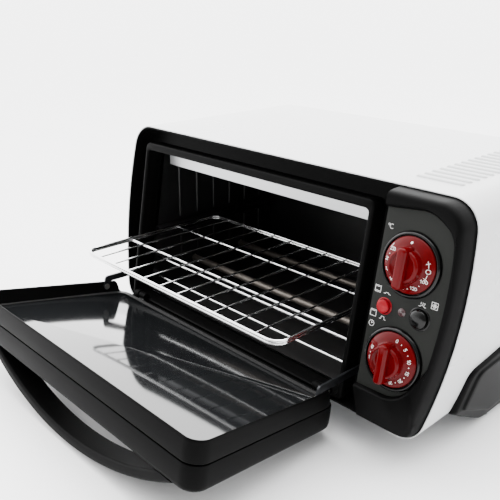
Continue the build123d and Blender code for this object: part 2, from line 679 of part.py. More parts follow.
def half_space(out):
    high = foot_high + 20
    pts = [(0, -5), (foot_low_x + out - 5 * tilt, -5), (foot_top_x + out + 20 * tilt, high), (0, high)]
    across = Plane((0, back_y + 60, 0), x_dir=(1, 0, 0), z_dir=(0, -1, 0))
    return extrude(across * make_face(Polyline(*pts, close=True)), 2 * depth)


pod_solid = extrude(pod_plane * pod_face(), 60)
pod = pod_solid & half_space(0.0)
pad_raise = extrude(pod_plane * pod_face(11.0), 60)
pod += pad_raise & half_space(2.4)
pod -= prism(0, front_foot_y - 60, back_y + 20)
pod -= box(0, width / 2 - 36, -depth, depth * 2, -5, foot_gap + 40)
pod = pod.solids().sort_by(SortBy.VOLUME)[-1]
foot_screws = []
for y in (front_top_y + 60, front_top_y + foot_len * 0.8):
    z = 60.0
    x = side_x(z)
    shank = rod((x - 1.0, y, z), (x + 2.8, y, z), 1.6)
    pod -= shank
    screw = shank + rod((x - 4.4, y, z), (x - 2.2, y, z), 3.4) + rod((x - 2.3, y, z), (x - 0.9, y, z), 1.6)
    foot_screws += [screw, mirrored(screw, 0)]
    casing -= rod((x - 4, y, z), (x + 2, y, z), 1.8)
    casing -= rod((-x - 2, y, z), (-x + 4, y, z), 1.8)
save(pod, "side_foot_right")
save(mirrored(pod, 0), "side_foot_left")
save(Compound(children=foot_screws), "foot_screws")
save(casing, "outer_casing")
pads = []
for side in (-1, 1):
    for y in (front_top_y + 94, front_top_y + foot_len * 0.66):
        x = side * (foot_low_x - 9.0)
        pads.append(rod((x, y, 0), (x, y, pad_t), 6.5))
save(Compound(children=pads), "foot_pads")
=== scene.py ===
import json
from math import atan2, cos, hypot, pi, radians, sin, sqrt, tan

import bpy
import bmesh
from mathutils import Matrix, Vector


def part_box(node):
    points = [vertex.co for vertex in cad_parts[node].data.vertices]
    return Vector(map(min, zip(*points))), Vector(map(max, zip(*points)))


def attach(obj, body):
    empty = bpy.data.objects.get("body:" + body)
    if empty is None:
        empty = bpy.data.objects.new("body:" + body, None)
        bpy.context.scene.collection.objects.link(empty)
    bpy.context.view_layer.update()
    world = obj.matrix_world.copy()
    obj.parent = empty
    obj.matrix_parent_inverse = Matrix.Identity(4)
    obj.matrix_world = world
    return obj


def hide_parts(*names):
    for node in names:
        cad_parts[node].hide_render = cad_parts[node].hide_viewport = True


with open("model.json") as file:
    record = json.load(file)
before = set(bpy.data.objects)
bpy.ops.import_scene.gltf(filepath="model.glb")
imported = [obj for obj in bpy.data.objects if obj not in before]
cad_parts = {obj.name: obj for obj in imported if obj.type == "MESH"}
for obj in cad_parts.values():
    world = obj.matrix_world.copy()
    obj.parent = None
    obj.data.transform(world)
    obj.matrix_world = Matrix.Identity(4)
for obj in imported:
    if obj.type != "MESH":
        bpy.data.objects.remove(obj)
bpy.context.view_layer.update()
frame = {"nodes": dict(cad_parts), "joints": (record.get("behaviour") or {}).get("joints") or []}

joints = {j["name"]: j for j in frame["joints"]}
mm = 0.001

# Outer casing. One sheet of steel folded over the roof and down both bowed sides, with its
# lower edges turned in under the base. It is enamelled white after pressing, and the
# louvre ribs over the controls are pressed up out of the same sheet.
casing_low, casing_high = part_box("outer_casing")
half_width = casing_high.x
foot_gap = casing_low.z
back_y = casing_high.y
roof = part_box("rear_panel")[1].z + 1.15 * mm
casing_deep = 232 * mm
sheet = 1.0 * mm
crown_radius = 436 * mm
crown_z = 0.68 * roof
top_corner = 25 * mm
bottom_corner = 22 * mm

# The front of the oven leans back. across is left to right, slope runs up the front, out is
# the distance in front of the casing's edge.
inward = Vector(joints["thermostat_turn"]["axis"]).normalized()
lean_cos, lean_sin = inward.y, -inward.z
hinge = Vector(joints["door_hinge"]["pos_m"])
hinge_out = 0.5 * mm
hinge_slope = (hinge.z - lean_sin * hinge_out) / lean_cos
front_foot_y = hinge.y - lean_sin * hinge_slope + lean_cos * hinge_out


def on_front(across, slope, out):
    return Vector((across, front_foot_y + lean_sin * slope - lean_cos * out,
                   lean_cos * slope + lean_sin * out))


def slope_at(z, out=0.0):
    return (z - out * lean_sin) / lean_cos


def seam_y(z):
    return front_foot_y + z * lean_sin / lean_cos


def linear(shade):
    """An sRGB hex colour as the linear colour that the shader wants"""
    parts = [int(shade[n:n + 2], 16) / 255 for n in (1, 3, 5)]
    return [p / 12.92 if p <= 0.04045 else ((p + 0.055) / 1.055) ** 2.4 for p in parts] + [1.0]


def add(mat, kind, links=None, **settings):
    """Adds one shader node, sets it up, joins its inputs and hands back its outputs"""
    made = mat.node_tree.nodes.new("ShaderNode" + kind)
    for key, value in settings.items():
        setattr(made, key, value)
    for socket, source in (links or {}).items():
        if isinstance(source, bpy.types.NodeSocket):
            mat.node_tree.links.new(source, made.inputs[socket])
        else:
            made.inputs[socket].default_value = source
    return made.outputs


def material(name, shade, roughness, metallic=0.0, ior=1.5, **more):
    mat = bpy.data.materials.new(name)
    mat.use_nodes = True
    shader = mat.node_tree.nodes["Principled BSDF"]
    shader.inputs["Base Color"].default_value = linear(shade)
    shader.inputs["Roughness"].default_value = roughness
    shader.inputs["Metallic"].default_value = metallic
    shader.inputs["IOR"].default_value = ior
    for socket, value in more.items():
        shader.inputs[socket.replace("_", " ")].default_value = value
    return mat, shader


def surface(mat, shader, low, high, patch, grain, depth, rough_low, rough_high, stretch=(1, 1, 1)):
    """Colour and gloss that wander over patches of one size, and a bump of a finer grain"""
    place = add(mat, "TexCoord")["Object"]
    place = add(mat, "Mapping", {"Vector": place, "Scale": stretch})["Vector"]
    wide = add(mat, "TexNoise", {"Vector": place, "Scale": 1 / patch, "Detail": 4.0})["Fac"]
    fine = add(mat, "TexNoise", {"Vector": place, "Scale": 1 / grain, "Detail": 3.0})["Fac"]
    tint = add(mat, "Mix", {"Factor": wide, "A": linear(low), "B": linear(high)}, data_type="RGBA")["Result"]
    gloss = add(mat, "MapRange", {"Value": wide, "To Min": rough_low, "To Max": rough_high})["Result"]
    bump = add(mat, "Bump", {"Height": fine, "Strength": 1.0, "Distance": depth})["Normal"]
    for socket, source in (("Base Color", tint), ("Roughness", gloss), ("Normal", bump)):
        mat.node_tree.links.new(source, shader.inputs[socket])


# Gloss stoving enamel: white with a trace of orange peel, 6 mm across and 20 microns deep
enamel, shader = material("white stoving enamel", "#f1f2f3", 0.28, ior=1.52)
surface(enamel, shader, "#b4b5b6", "#bfc0c0", 90 * mm, 6 * mm, 0.02 * mm, 0.24, 0.32)


def loft(name, rings, finish, body, wrap=True, around=False, first=False, last=False, ends=False, sharp=38):
    """A mesh skin over rings of points. wrap closes each ring, around joins the last ring to
    the first, first and last cap the end rings, and ends caps both ends of an open sheet"""
    count = len(rings[0])
    points = [Vector(p) for ring in rings for p in ring]
    faces = []
    for r in range(len(rings) if around else len(rings) - 1):
        a, b = r * count, ((r + 1) % len(rings)) * count
        for n in range(count if wrap else count - 1):
            m = (n + 1) % count
            faces.append((a + n, a + m, b + m, b + n))
    if first:
        faces.append(tuple(range(count)))
    if last:
        faces.append(tuple(range((len(rings) - 1) * count, len(rings) * count)))
    if ends:
        faces.append(tuple(r * count for r in range(len(rings))))
        faces.append(tuple(r * count + count - 1 for r in range(len(rings))))
    return skin(name, points, faces, finish, body, sharp)


def skin(name, points, faces, finish, body, sharp=38):
    mesh = bpy.data.meshes.new(name)
    mesh.from_pydata([tuple(p) for p in points], [], faces)
    work = bmesh.new()
    work.from_mesh(mesh)
    bmesh.ops.remove_doubles(work, verts=work.verts, dist=1e-6)
    bmesh.ops.recalc_face_normals(work, faces=work.faces)
    work.to_mesh(mesh)
    work.free()
    mesh.shade_smooth()
    mesh.set_sharp_from_angle(angle=radians(sharp))
    mesh.materials.append(finish)
    made = bpy.data.objects.new(name, mesh)
    bpy.context.scene.collection.objects.link(made)
    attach(made, body)
    return made


def bands(base, rows, count):
    """Faces between closed rows of points, the first of which is number base"""
    return [(base + r * count + n, base + r * count + (n + 1) % count,
             base + (r + 1) * count + (n + 1) % count, base + (r + 1) * count + n)
            for r in range(rows - 1) for n in range(count)]


def side_at(z, inset=0.0):
    return half_width - inset - (z - crown_z) ** 2 / (2 * crown_radius)


def casing_path(inset, steps=9, flange=8 * mm):
    """The sheet's outline as (across, height), from the right flange over the roof to the left"""
    def touch(z_centre, r):
        z = z_centre
        for _ in range(20):
            m = (crown_z - z) / crown_radius
            z = z_centre - m * r / sqrt(1 + m * m)
        m = (crown_z - z) / crown_radius
        return z, atan2(-m, 1)

    right = []
    r = bottom_corner - inset
    zc = foot_gap + bottom_corner
    z0, a0 = touch(zc, r)
    xc = side_at(z0, inset) - r * cos(a0)
    right.append((xc - flange, foot_gap + inset))
    for n in range(steps + 1):
        a = -pi / 2 + (a0 + pi / 2) * n / steps
        right.append((xc + r * cos(a), zc + r * sin(a)))
    r = top_corner - inset
    zc = roof - top_corner
    z1, a1 = touch(zc, r)
    for n in range(1, 12):
        z = z0 + (z1 - z0) * n / 12
        right.append((side_at(z, inset), z))
    xc = side_at(z1, inset) - r * cos(a1)
    for n in range(steps + 1):
        a = a1 + (pi / 2 - a1) * n / steps
        right.append((xc + r * cos(a), zc + r * sin(a)))
    for n in (0.75, 0.5, 0.25):
        right.append((xc * n, roof - inset))
    left = [(-x, z) for x, z in reversed(right)]
    return right + [(0.0, roof - inset)] + left


hem = 0.3 * mm
stations = [(0.0, None, hem), (hem, None, 0.0), (sheet - hem, None, 0.0), (sheet, None, hem),
            (sheet, back_y, 0.0), (0.0, back_y, 0.0)]
rings = []
for inset, y, step in stations:
    rings.append([(x, (seam_y(z) + step) if y is None else y, z) for x, z in casing_path(inset)])
casing = loft("casing_sheet", rings, enamel, "oven_body", wrap=False, around=True, ends=True)
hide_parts("outer_casing")

# Louvre ribs: the sheet is pressed up into fourteen low bars over the controls, half round
# in section and round at the ends, one every 11.6 mm
louvre_mid = half_width - 59 * mm
louvre_half = 21.5 * mm
rib_half = 2.6 * mm
rib_high = 1.5 * mm
rib_pitch = 11.6 * mm
rib_start = back_y - casing_deep + 32 * mm
points, faces = [], []
for rib in range(14):
    y = rib_start + rib * rib_pitch
    base = len(points)
    for high, grow in ((-0.3 * mm, 1.25), (0.0, 1.15), (0.55, 0.92), (0.85, 0.62), (1.0, 0.28)):
        z = roof + (high if high < 0 else high * rib_high)
        for n in range(24):
            a = 2 * pi * n / 24
            over = (louvre_half - rib_half) * (1 if cos(a) >= 0 else -1)
            points.append((louvre_mid + over + rib_half * grow * cos(a), y + rib_half * grow * sin(a), z))
    faces += bands(base, 5, 24)
    faces.append(tuple(base + 96 + n for n in range(24)))
    faces.append(tuple(base + n for n in reversed(range(24))))
ribs = skin("louvre_ribs", points, faces, enamel, "oven_body", sharp=60)

# Front frame: one black ABS moulding behind the door. Its edge finishes flush inside the
# casing, a groove 18 mm deep takes the shut door, and a rounded lip stands round the mouth.
block_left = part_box("heat_shield")[0].x + 8 * mm
mouth_low, mouth_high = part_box("cavity_liner")
mouth_mid = (mouth_low.x + mouth_high.x) / 2
mouth_half = (mouth_high.x - mouth_low.x) / 2 - 0.8 * mm
mouth_bottom = slope_at(mouth_low.z + 0.8 * mm)
mouth_top = slope_at(mouth_high.z - 0.8 * mm)
groove = 18 * mm
lip_wide = 5.5 * mm


def corners(spots, steps=8):
    """A closed outline with each corner (across, up, radius) rounded"""
    path = []
    for n, (x, y, r) in enumerate(spots):
        here = Vector((x, y))
        back = (Vector(spots[n - 1][:2]) - here).normalized()
        ahead = (Vector(spots[(n + 1) % len(spots)][:2]) - here).normalized()
        if r <= 0:
            path.append(tuple(here))
            continue
        half = back.angle(ahead) / 2
        centre = here + (back + ahead).normalized() * (r / sin(half))
        start = here + back * (r / tan(half)) - centre
        finish = here + ahead * (r / tan(half)) - centre
        turn = start.angle_signed(finish)
        base = atan2(start.y, start.x)
        for k in range(steps + 1):
            a = base - turn * k / steps
            path.append((centre.x + r * cos(a), centre.y + r * sin(a)))
    return path


def oblong(left, right, low, high, r, r_high=None, steps=8):
    """A rounded oblong, drawn anticlockwise from its lower left corner"""
    r_high = r if r_high is None else r_high
    return corners([(left, low, r), (right, low, r), (right, high, r_high), (left, high, r_high)], steps)


def inset_path(path, by):
    """A closed outline moved sideways, inwards when it runs anticlockwise"""
    moved = []
    for n, here in enumerate(path):
        before = Vector(here) - Vector(path[n - 1])
        after = Vector(path[(n + 1) % len(path)]) - Vector(here)
        if before.length < 1e-9 or after.length < 1e-9:
            before = after if before.length < 1e-9 else before
            after = before if after.length < 1e-9 else after
        one = Vector((-before.y, before.x)).normalized()
        two = Vector((-after.y, after.x)).normalized()
        both = (one + two).normalized()
        moved.append(tuple(Vector(here) + both * (by / max(0.5, both.dot(one)))))
    return moved


def cast(centre, angle, path):
    """Where a ray from the centre leaves a closed outline"""
    dx, dy = cos(angle), sin(angle)
    best = 0.0
    for n in range(len(path)):
        ax, ay = path[n - 1][0] - centre[0], path[n - 1][1] - centre[1]
        bx, by = path[n][0] - centre[0], path[n][1] - centre[1]
        ex, ey = bx - ax, by - ay
        den = dx * ey - dy * ex
        if abs(den) < 1e-15:
            continue
        t = (ax * ey - ay * ex) / den
        u = (ax * dy - ay * dx) / den
        if t > best and -1e-9 <= u <= 1 + 1e-9:
            best = t
    return centre[0] + dx * best, centre[1] + dy * best


def matched(centre, *paths):
    """The same number of points on each outline, at the same angles from the centre"""
    angles = sorted({round(atan2(y - centre[1], x - centre[0]), 5) for path in paths for x, y in path})
    kept = [angles[0]]
    for a in angles[1:]:
        if a - kept[-1] > 0.004:
            kept.append(a)
    return [[cast(centre, a, path) for a in kept] for path in paths]


def filled(path, gap=6 * mm):
    """The outline with points added along its long runs"""
    full = []
    for n in range(len(path)):
        a, b = Vector(path[n - 1]), Vector(path[n])
        parts = max(1, int((b - a).length / gap))
        full += [tuple(a + (b - a) * k / parts) for k in range(parts)]
    return full


# Spark-textured black ABS: satin, with a grain of about half a millimetre drawn at 1.2 mm
black_abs, shader = material("black ABS moulding", "#070707", 0.42, Specular_IOR_Level=0.022)
surface(black_abs, shader, "#050505", "#090909", 70 * mm, 1.2 * mm, 0.010 * mm, 0.36, 0.46)

edge = [(x, slope_at(z)) for x, z in casing_path(1.25 * mm, flange=0.0)]
edge = [p for p in edge if p[0] < block_left - 1 * mm]
edge = [(block_left + 1.6 * mm, edge[0][1])] + edge + [(block_left + 1.6 * mm, edge[-1][1])]
low_edge = edge[-1][1]
edge = filled(edge)
lip = oblong(mouth_mid - mouth_half - lip_wide, mouth_mid + mouth_half + lip_wide,
             low_edge + 1.9 * mm, mouth_top + 8.6 * mm, 5 * mm, 7 * mm)
hole = oblong(mouth_mid - mouth_half, mouth_mid + mouth_half, mouth_bottom, mouth_top, 4 * mm)
centre = (mouth_mid, (mouth_bottom + mouth_top) / 2)
edge, lip, hole = matched(centre, edge, filled(lip), filled(hole))
rings = []
for inset, out in ((0.0, -20.4), (0.0, -0.7), (0.25, -0.2), (0.7, 0.0), (1.0, -0.1), (1.35, -0.6),
                   (1.4, -1.4), (1.4, -17.4), (1.9, -18.0)):
    rings.append([on_front(x, v, out * mm) for x, v in inset_path(edge, inset * mm)])
for outset, out in ((1.0, -18.0), (0.2, -17.6), (0.0, -16.8), (0.0, -3.4), (-0.3, -2.1), (-1.1, -1.15),
                    (-2.2, -0.8)):
    rings.append([on_front(x, v, out * mm) for x, v in inset_path(lip, -outset * mm)])
for outset, out in ((2.0, -0.8), (0.9, -1.1), (0.25, -1.9), (0.0, -3.2), (0.0, -24.0)):
    rings.append([on_front(x, v, out * mm) for x, v in inset_path(hole, -outset * mm)])
front_frame = loft("front_frame", rings, black_abs, "oven_body", sharp=50)
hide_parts("front_bezel")

# Control block: the right end of the same ABS moulding stands 17 mm proud of the casing. A
# broad rounded rim runs over the top, down the bowed side and into a sloping chin, and the
# satin fascia lies 5 mm down inside it, open to the left.
rim_out = 17.2 * mm
fascia_out = 12.4 * mm
chin_out = 3.0 * mm
block_low = slope_at(foot_gap) + 1.0 * mm
chin_top = slope_at(62.5 * mm)
fascia_low = slope_at(65.5 * mm, fascia_out)
fascia_high = slope_at(0.9515 * roof, fascia_out)
outer = [(x, slope_at(z)) for x, z in casing_path(1.6 * mm, steps=12, flange=0.0)]
outer = [p for p in outer if p[0] > block_left + 4 * mm]
outer = [(block_left, outer[0][1])] + outer + [(block_left, outer[-1][1])]
inner = corners([(block_left, fascia_low, 0),
                 (half_width - 32 * mm, fascia_low + 0.5 * mm, 26 * mm),
                 (half_width - 12 * mm, fascia_low + 38 * mm, 40 * mm),
                 (half_width - 7.2 * mm, fascia_high - 62 * mm, 90 * mm),
                 (half_width - 12.5 * mm, fascia_high - 13 * mm, 20 * mm),
                 (half_width - 34 * mm, fascia_high + 0.8 * mm, 30 * mm),
                 (block_left, fascia_high - 3.5 * mm, 0)], steps=10)
centre = (block_left + 12 * mm, (fascia_low + fascia_high) / 2)
ends = [(outer[0], inner[0]), (outer[-1], inner[-1])]
angles = [[atan2(v - centre[1], x - centre[0]) for x, v in pair] for pair in ends]
lowest, highest = max(angles[0]) + 0.01, min(angles[1]) - 0.01
sweep = [lowest + (highest - lowest) * n / 150 for n in range(151)]
outer = [outer[0]] + [cast(centre, a, outer) for a in sweep] + [outer[-1]]
inner = [inner[0]] + [cast(centre, a, inner) for a in sweep] + [inner[-1]]


def crest(slope, out):
    """The block's height here: the chin slopes away below the fascia"""
    limit = chin_out + (rim_out - chin_out) * (slope - block_low) / (chin_top - block_low)
    return min(out, max(chin_out, min(rim_out, limit)))


def drawn(path, by, left):
    """The outline drawn in by some millimetres, its two ends kept on one upright line"""
    row = inset_path(path, by * mm)
    return [(left, row[0][1])] + row[1:-1] + [(left, row[-1][1])]


def block_row(path, by, out):
    return [on_front(x, v, crest(v, out * mm)) for x, v in drawn(path, by, block_left)]


rings = []
for by, out in ((0.0, -18.0), (0.0, 0.2), (1.1, 6.0), (2.3, 11.5), (3.2, 14.4), (4.2, 16.0), (5.4, 16.9),
                (6.6, 17.2)):
    rings.append(block_row(outer, by, out))
for by, out in ((-2.6, 17.2), (-1.6, 17.0), (-0.8, 16.4), (-0.2, 15.2), (0.0, 13.2)):
    rings.append(block_row(inner, by, out))
for by, out in ((0.4, 12.5), (0.5, 12.1), (1.2, 12.1)):
    rings.append([on_front(x, v, out * mm) for x, v in drawn(inner, by, block_left)])
points = [p for ring in rings for p in ring]
count = len(outer)
faces = [(r * count + n, r * count + n + 1, (r + 1) * count + n + 1, (r + 1) * count + n)
         for r in range(len(rings) - 1) for n in range(count - 1)]
top = (len(rings) - 1) * count
faces.append(tuple(top + n for n in range(count)))
faces.append(tuple(range(count)))
first = [r * count for r in range(len(rings))]
faces.append(tuple(first) + tuple(n + count - 1 for n in reversed(first)))
control_block = skin("control_block", points, faces, black_abs, "oven_body", sharp=50)

# Fascia: a separate ABS panel let into the block's recess, charcoal, satin and a shade
# lighter than the moulding round it
charcoal, shader = material("satin charcoal fascia", "#1c1d1c", 0.46, Specular_IOR_Level=0.06)
surface(charcoal, shader, "#191a19", "#20211f", 60 * mm, 0.8 * mm, 0.006 * mm, 0.40, 0.52)
rings = []
for by, out in ((0.65, 11.9), (0.65, 12.15), (0.85, 12.35), (1.15, 12.4)):
    rings.append([on_front(x, v, out * mm) for x, v in drawn(inner, by, block_left + 0.15 * mm)])
panel = loft("control_fascia", rings, charcoal, "oven_body", first=True, last=True, sharp=40)


def coat(finish, *names):
    """Gives one finish to pieces that come straight from the frame"""
    for name in names:
        frame["nodes"][name].data.materials.clear()
        frame["nodes"][name].data.materials.append(finish)


# Cavity. The liner is pressed steel with a dark cooking enamel, ribbed on its side walls, and
# the rack guides are folded from the same sheet.
dark_enamel, shader = material("black cavity enamel", "#161616", 0.42, metallic=0.35, ior=1.6)
surface(dark_enamel, shader, "#0f0f10", "#1c1b1b", 40 * mm, 1.5 * mm, 0.02 * mm, 0.34, 0.52)
coat(dark_enamel, "cavity_liner", "rack_guide_left", "rack_guide_right")

# The roof reflector is bright rolled stainless: fine streaks run across the oven, drawn
# 2 mm apart where the real ones are a tenth of that
bright_steel, shader = material("bright rolled stainless", "#d9dadb", 0.34, metallic=0.9)
surface(bright_steel, shader, "#9b9c9d", "#bdbebf", 25 * mm, 2 * mm, 0.01 * mm, 0.28, 0.42,
        stretch=(0.04, 1, 1))
coat(bright_steel, "top_reflector")

# Heating tubes: steel-sheathed rods that have gone dull brown-grey with heat, each end held
# in a pale, matt steatite bush
sheath, shader = material("heat-stained heater sheath", "#6d6863", 0.45, metallic=0.8)
surface(sheath, shader, "#57504a", "#807a74", 18 * mm, 1.2 * mm, 0.02 * mm, 0.36, 0.55)
steatite, shader = material("steatite ceramic", "#e6e1d6", 0.6, ior=1.6)
surface(steatite, shader, "#ddd7ca", "#ece8df", 6 * mm, 0.8 * mm, 0.02 * mm, 0.5, 0.7)
coat(sheath, "lower_heating_tubes", "upper_heating_tubes")
coat(steatite, "ceramic_bushes")

# Wire rack: chrome-plated steel wire. A thick ring with a thinner one welded under it, ten
# bars from front to back and two stays across, every joint resistance welded.
chrome, shader = material("chrome-plated steel wire", "#dcdddd", 0.14, metallic=1.0)
surface(chrome, shader, "#cfd0d1", "#e6e6e6", 30 * mm, 1.5 * mm, 0.004 * mm, 0.10, 0.2)


def wire(name, runs, radius, finish, body, closed=True, bend=12 * mm):
    """Round wire through corner points, bent on a set radius"""
    curve = bpy.data.curves.new(name, "CURVE")
    curve.dimensions = "3D"
    curve.bevel_depth = radius
    curve.bevel_resolution = 4
    curve.use_fill_caps = True
    for run in runs:
        spots = [Vector(p) for p in run]
        path = []
        for n, here in enumerate(spots):
            if not closed and n in (0, len(spots) - 1):
                path.append(here)
                continue
            back = (spots[n - 1] - here).normalized()
            ahead = (spots[(n + 1) % len(spots)] - here).normalized()
            half = back.angle(ahead) / 2
            centre = here + (back + ahead).normalized() * (bend / sin(half))
            start = here + back * (bend / tan(half)) - centre
            stop = here + ahead * (bend / tan(half)) - centre
            for k in range(9):
                path.append(centre + start.normalized().slerp(stop.normalized(), k / 8) * bend)
        spline = curve.splines.new("POLY")
        spline.points.add(len(path) - 1)
        for point, spot in zip(spline.points, path):
            point.co = (*spot, 1)
        spline.use_cyclic_u = closed
    made = bpy.data.objects.new(name, curve)
    curve.materials.append(finish)
    bpy.context.scene.collection.objects.link(made)
    bpy.context.view_layer.update()
    mesh = bpy.data.meshes.new_from_object(made.evaluated_get(bpy.context.evaluated_depsgraph_get()))
    mesh.name = name
    mesh.shade_smooth()
    solid = bpy.data.objects.new(name, mesh)
    bpy.data.objects.remove(made)
    solid.name = name
    bpy.context.scene.collection.objects.link(solid)
    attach(solid, body)
    return solid


rack_low, rack_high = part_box("wire_rack")
thick = 1.5 * mm
thin = 1.0 * mm
stay_wire = 1.2 * mm
rack_z = rack_high.z - thick
x0, x1 = rack_low.x + thick, rack_high.x - thick
y0, y1 = rack_low.y + thick, rack_high.y - thick
rim_run = [(x0, y0), (x1, y0), (x1, y1), (x0, y1)]
rack = wire("rack_ring", [[(x, y, rack_z) for x, y in rim_run]], thick, chrome, "rack")
low_run = [(x, y, rack_z - thick - thin) for x, y in rim_run]
under = wire("rack_lower_ring", [low_run], stay_wire, chrome, "rack")
bar_spots = [x0 + (x1 - x0) * (n + 1) / 11 for n in range(10)]
bars = [[(x, y0, rack_z), (x, y1, rack_z)] for x in bar_spots]
cross = wire("rack_bars", bars, thin, chrome, "rack", closed=False)
stays = []
for share in (0.32, 0.68):
    y = y0 + share * (y1 - y0)
    stays.append([(x0, y, rack_z - 2 * thin), (x1, y, rack_z - 2 * thin)])
ties = wire("rack_cross_stays", stays, stay_wire, chrome, "rack", closed=False)
points, faces = [], []
for x in bar_spots:
    for y in (y0, y1):
        base = len(points)
        for high in range(7):
            a = -pi / 2 + pi * high / 6
            for n in range(12):
                b = 2 * pi * n / 12
                points.append((x + 1.7 * mm * cos(a) * cos(b), y + 1.5 * mm * cos(a) * sin(b),
                               rack_z + 1.45 * mm * sin(a)))
        faces += bands(base, 7, 12)
welds = skin("rack_welds", points, faces, chrome, "rack", sharp=80)
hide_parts("wire_rack")

# Guard wires: two chrome-plated rods across the mouth below the rack, with their ends bent
# back to the liner's sides
guard_low, guard_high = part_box("guard_wires")
runs = []
for z in (guard_high.z - 1.5 * mm, guard_low.z + 1.5 * mm):
    y = seam_y(z) + groove + 7 * mm
    runs.append([(guard_low.x + 0.6 * mm, y + 6 * mm, z), (guard_low.x + 8 * mm, y, z),
                 (guard_high.x - 8 * mm, y, z), (guard_high.x - 0.6 * mm, y + 6 * mm, z)])
guards = wire("guard_rods", runs, 1.5 * mm, chrome, "oven_body", closed=False, bend=5 * mm)
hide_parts("guard_wires")

# Door. A deep black ABS shell outside and a raised frame inside hold the glass between them;
# the door is drawn let down, across, along from the hinge, and up towards the food.
door_half = (block_left + half_width) / 2 - 5.6 * mm
hinge_half = door_half - 14 * mm
door_long = (roof - 13.4 * mm - hinge.z) / lean_cos
shell_deep = 25 * mm


def on_door(across, along, up):
    return Vector((across, hinge.y - lean_cos * along + lean_sin * up,
                   hinge.z + lean_sin * along + lean_cos * up))


def door_side(along, inset=0.0):
    """Half the door's width: it widens towards the handle and its sides are a little bowed"""
    share = (along + 7.4 * mm) / (door_long + 7.4 * mm)
    bow = 1.2 * mm * (1 - (2 * share - 1) ** 2)
    return hinge_half + (door_half - hinge_half) * share + bow - inset


def door_path(start, inset=0.0, round_far=15 * mm, round_near=16 * mm):
    near = (door_side(start, inset), start + inset, round_near - min(inset, 12 * mm))
    far = (door_side(door_long, inset), door_long - inset, round_far - min(inset, 11 * mm))
    spots = [(mouth_mid + side * x, y, r) for side, (x, y, r) in ((1, near), (1, far), (-1, far), (-1, near))]
    return corners(spots, steps=9)


rows = [(2.6, -3.0), (2.5, -1.9), (0.5, -1.8), (0.1, -1.5), (0.0, -1.0), (0.35, 6.0), (0.9, 14.2),
        (1.2, 15.5), (1.7, 16.2), (2.3, 16.3), (2.9, 15.9), (3.1, 15.0), (3.3, 0.9), (3.6, 0.3),
        (4.3, 0.15), (4.5, -0.4), (4.6, -2.7)]
rings = []
for inset, up in rows:
    path = door_path(9 * mm, inset * mm)
    ring = []
    for x, y in path:
        drift = door_side(y, inset * mm) - abs(x - mouth_mid)
        low = 1.0 if y > door_long / 2 else max(0.0, 1.0 - max(0.0, drift) / (2.4 * mm))
        ring.append(on_door(x, y, (up if up < 0.5 else 0.2 + (up - 0.2) * low) * mm))
    rings.append(ring)
door_rim = loft("door_inner_frame", rings, black_abs, "door", around=True, sharp=45)
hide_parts("door_frame")

# Hinge knuckles: two ears on the frame wrap the outer ends of the pins, and two bosses on
# the front moulding hold the inner ends
ear_in, ear_out = hinge_half - 21 * mm, hinge_half - 14.5 * mm
ear_path = [(5.4 * mm * cos(radians(a)), 5.4 * mm * sin(radians(a))) for a in range(-2, 293, 14)]
ear_path += [(14 * mm, -5 * mm), (14 * mm, -0.2 * mm)]
boss_path = [(4.6 * mm * cos(2 * pi * n / 32), 4.6 * mm * sin(2 * pi * n / 32)) for n in range(32)]
boss_in, boss_out = ear_in - 11 * mm, ear_in - 0.6 * mm
for side, name in ((1, "right"), (-1, "left")):
    for piece, body, path, near, far in (("door_hinge_ear_", "door", ear_path, ear_in, ear_out),
                                         ("hinge_boss_", "oven_body", boss_path, boss_in, boss_out)):
        rings = []
        for at, inset in ((near, 0.5), (near + 0.5 * mm, 0.0), (far - 0.5 * mm, 0.0), (far, 0.5)):
            rings.append([on_door(mouth_mid + side * at, y, up) for y, up in inset_path(path, inset * mm)])
        made = loft(piece + name, rings, black_abs, body, first=True, last=True, sharp=40)

# Door shell: its walls lean in slightly from the mould and round over into the outer face,
# which has a window in it
rows = [(3.2, -3.1), (0.9, -3.2), (0.45, -3.4), (0.3, -3.9), (0.0, -12.0), (0.0, -20.0), (0.5, -22.4),
        (1.8, -24.2), (3.6, -25.0), (12.0, -25.0)]
outer = [[on_door(x, y, up * mm) for x, y in door_path(5.5 * mm, inset * mm)] for inset, up in rows]
win_low, win_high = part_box("door_window")
win_half = (win_high.x - win_low.x) / 2 - 6 * mm
win_near, win_far = 30 * mm, door_long - 36 * mm
win_spots = ((1, win_near), (1, win_far), (-1, win_far), (-1, win_near))
window = corners([(mouth_mid + side * win_half, y, 12 * mm) for side, y in win_spots], steps=9)
for spread, up in ((1.2, -25.0), (0.3, -24.6), (0.0, -23.8), (0.0, -22.0)):
    spread *= mm
    outer.append([on_door(x + spread * (1 if x > mouth_mid else -1),
                          y + spread * (1 if y > door_long / 2 else -1), up * mm) for x, y in window])
outer.append([on_door(x, y, -22.0 * mm) for x, y in door_path(5.5 * mm, 6.0 * mm)])
outer.append([on_door(x, y, -6.0 * mm) for x, y in door_path(5.5 * mm, 3.2 * mm)])
shell = loft("door_outer_shell", outer, black_abs, "door", around=True, sharp=45)
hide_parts("door_shell")

# Inner glass: tempered, faintly smoked and very smooth, so it mirrors what stands over it. It is drawn opaque
# and near black. The faint smoke is real; the rest of the dark is painted shade for the shadowed window and
# table that would show through the clear pane. Its ground edge lies just inside the frame's ledge.
# Near-black pane: part real smoke tint, part painted shade for the dark under the glass
smoke_tint_and_painted_shade, shader = material("smoked tempered glass", "#101112", 0.07, ior=1.9)
surface(smoke_tint_and_painted_shade, shader, "#0f1011", "#131415", 120 * mm, 60 * mm, 0.03 * mm, 0.05, 0.10)
rows = [(5.6, -3.6), (5.0, -3.2), (4.8, -0.6), (5.0, -0.35), (5.4, -0.2)]
rings = [[on_door(x, y, up * mm) for x, y in door_path(8 * mm, inset * mm)] for inset, up in rows]
glass = loft("door_inner_glass", rings, smoke_tint_and_painted_shade, "door", first=True, last=True)
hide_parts("door_glass")
